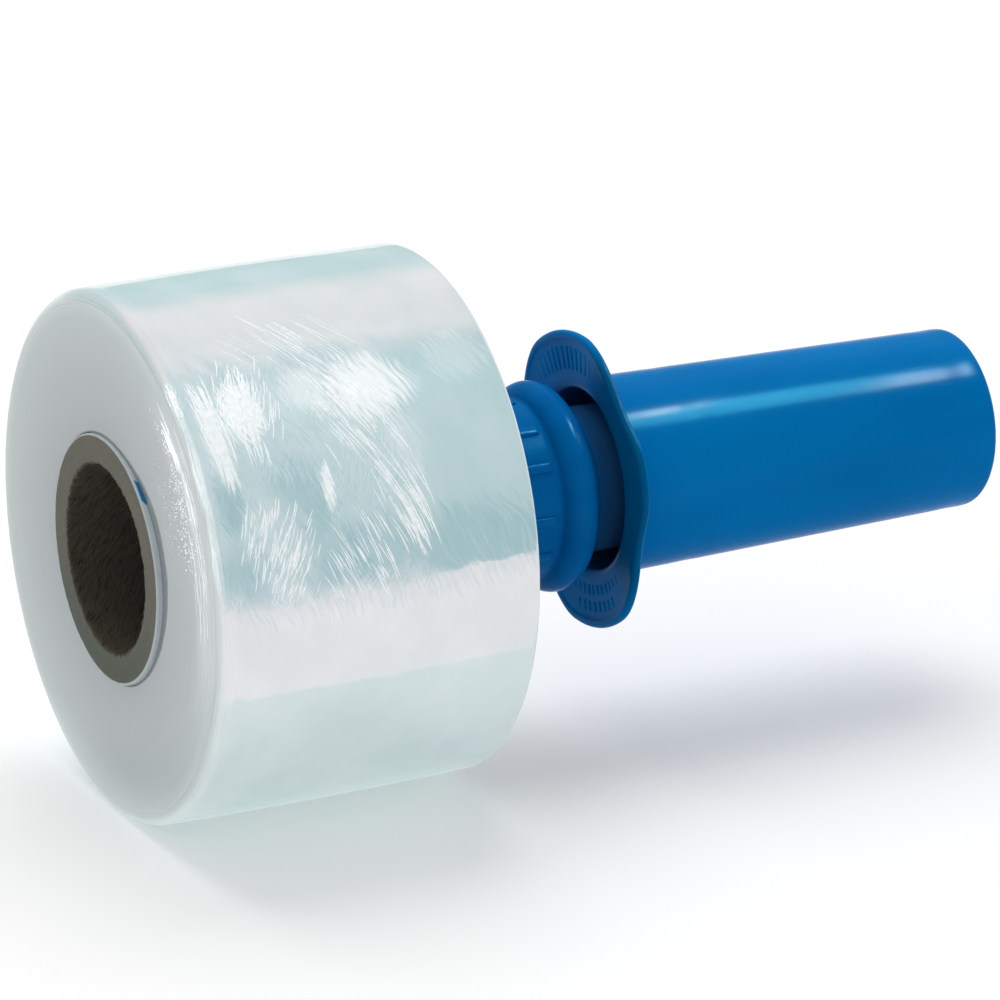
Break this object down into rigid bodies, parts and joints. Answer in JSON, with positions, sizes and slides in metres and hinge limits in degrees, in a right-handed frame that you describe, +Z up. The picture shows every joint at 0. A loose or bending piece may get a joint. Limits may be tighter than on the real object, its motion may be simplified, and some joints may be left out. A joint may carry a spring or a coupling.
{
  "type": "stretch wrap roll",
  "caption": "Short roll of clear stretch film on a cardboard core, carried on a ribbed plastic spindle that turns inside a flanged grip sleeve.",
  "frame": {"origin": "middle of the footprint at floor level, under the roll's axis", "axes": "+X along the roll's axis towards the closed end of the grip, +Z up"},
  "size_m": [0.1934, 0.1076, 0.1069],
  "materials": {
    "film": "clear stretch film, many turns deep, so it looks white with a pale blue-green tint; smooth and glossy with fine wrinkles",
    "core_board": "spiral wound grey-brown board, darker and streaky inside, white outer ply",
    "start_tape": "thin blue tape",
    "spindle_plastic": "moulded blue polyethylene, satin",
    "grip_plastic": "moulded blue polyethylene, soft sheen"
  },
  "bodies": {
    "roll": {"film_roll": "film", "core": "core_board", "start_tape": "start_tape", "spindle": "spindle_plastic"},
    "grip": {"grip_sleeve": "grip_plastic"}
  },
  "joints": [
    {"name": "grip_turn", "type": "hinge", "parent": "roll", "child": "grip", "pos_m": [0.05, 0, 0.05304], "axis": [1, 0, 0], "continuous": true}
  ]
}
